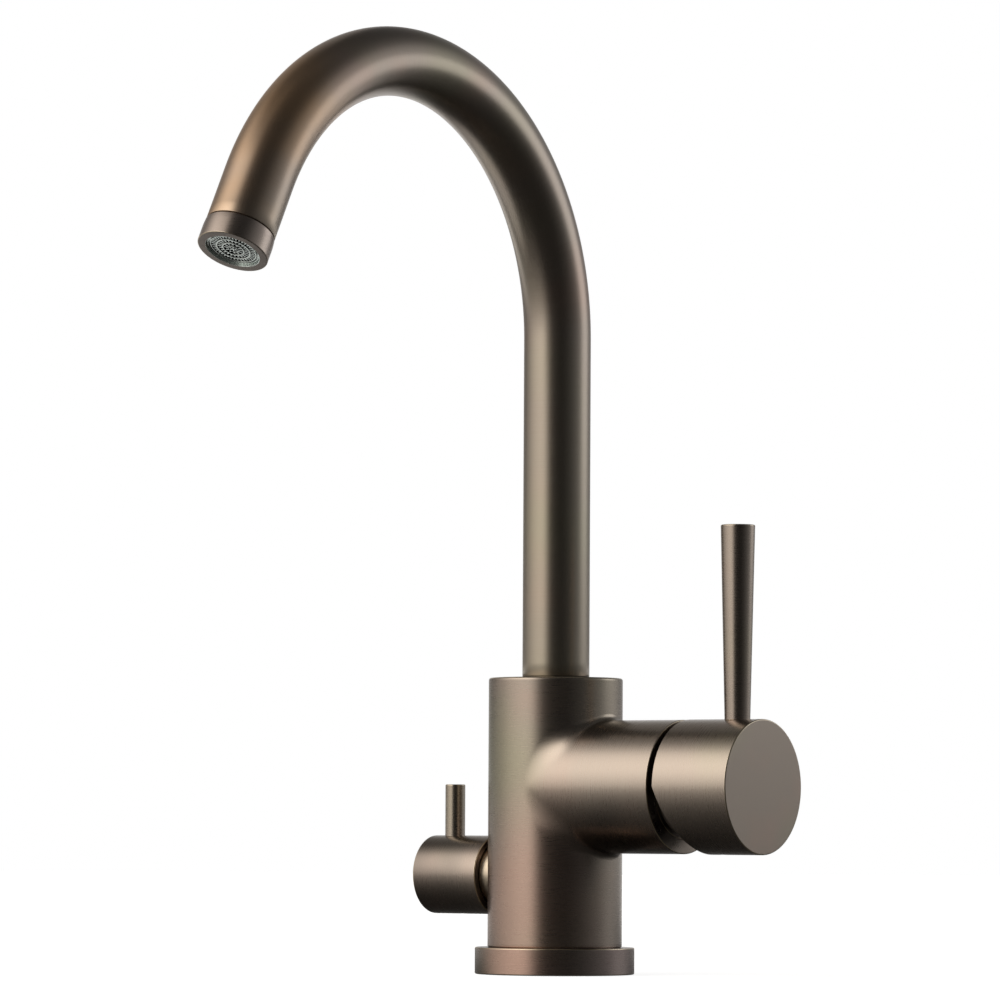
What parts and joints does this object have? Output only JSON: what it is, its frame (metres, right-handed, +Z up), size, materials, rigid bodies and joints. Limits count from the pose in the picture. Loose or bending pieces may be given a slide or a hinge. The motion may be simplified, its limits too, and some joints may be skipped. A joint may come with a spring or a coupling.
{
  "type": "kitchen mixer tap",
  "caption": "Side-lever kitchen mixer tap with a high bent swivel spout, a round cap lever with a tapered rod, and a small shut-off valve opposite.",
  "frame": {"origin": "centre of the base ring's underside, on the worktop and on the body's axis", "axes": "+Z up along the body and the spout's leg, +X along the cartridge branch towards the lever, -Y towards the spout's mouth and the user"},
  "size_m": [0.1495, 0.2319, 0.3431],
  "materials": {
    "bronze": "brushed, dark bronze coloured coating",
    "dark_bronze": "satin, dark bronze coloured coating",
    "raw_brass": "turned",
    "bronze_tube": "brushed, dark bronze coloured coating",
    "steel": "turned",
    "rubber": "matt black",
    "white_plastic": "moulded",
    "grey_plastic": "moulded",
    "ceramic": "lapped ceramic"
  },
  "bodies": {
    "tap_body": {"base_ring": "bronze", "base_gasket": "rubber", "body": "bronze", "spout_slide_washer": "rubber", "spout_retaining_screw": "steel", "cartridge_base": "white_plastic", "cartridge_port_seals": "rubber", "cartridge_housing": "white_plastic", "cartridge_fixed_disc": "ceramic", "cartridge_nut": "raw_brass", "cartridge_dome": "dark_bronze", "valve_bonnet": "bronze", "valve_bonnet_o_ring": "rubber", "valve_seat_seal": "rubber", "valve_fixed_disc": "ceramic"},
    "spout": {"spout_tube": "bronze_tube", "spout_nipple": "raw_brass", "spout_o_rings": "rubber", "spout_glide_ring": "white_plastic", "outlet_bush": "raw_brass", "aerator_collar": "bronze", "aerator_washer": "rubber", "aerator_insert": "grey_plastic", "aerator_flow_plate": "white_plastic"},
    "mixer_rotor": {"cartridge_rotor": "grey_plastic", "cartridge_rotor_o_ring": "rubber", "cartridge_pivot_pin": "steel"},
    "mixer_disc": {"cartridge_disc_carrier": "grey_plastic", "cartridge_moving_disc": "ceramic"},
    "lever": {"lever_spindle": "steel", "lever_cap": "bronze", "lever_rod": "bronze", "lever_set_screw": "steel"},
    "shutoff": {"valve_moving_disc": "ceramic", "valve_spindle": "raw_brass", "valve_spindle_o_ring": "rubber", "valve_spindle_clip": "steel", "shutoff_knob": "bronze", "knob_stick": "bronze", "knob_set_screw": "steel"}
  },
  "joints": [
    {"name": "spout_swivel", "type": "hinge", "parent": "tap_body", "child": "spout", "pos_m": [0, 0, 0.11], "axis": [0, 0, 1], "range_deg": [-60, 60]},
    {"name": "lever_turn", "type": "hinge", "parent": "tap_body", "child": "mixer_rotor", "pos_m": [0.047, 0, 0.0695], "axis": [1, 0, 0], "range_deg": [-45, 45]},
    {"name": "lever_tilt", "type": "hinge", "parent": "mixer_rotor", "child": "lever", "pos_m": [0.047, 0, 0.0695], "axis": [0, 1, 0], "range_deg": [0, 20]},
    {"name": "disc_slide", "type": "slide", "parent": "mixer_rotor", "child": "mixer_disc", "axis": [0, 0, 1], "range_m": [0, 0.00381]},
    {"name": "shutoff_turn", "type": "hinge", "parent": "tap_body", "child": "shutoff", "pos_m": [-0.0412, 0, 0.0365], "axis": [1, 0, 0], "range_deg": [0, 90]}
  ],
  "couplings": [
    {"joint": "disc_slide", "follows": "lever_tilt", "m_per_rad": 0.010778}
  ]
}
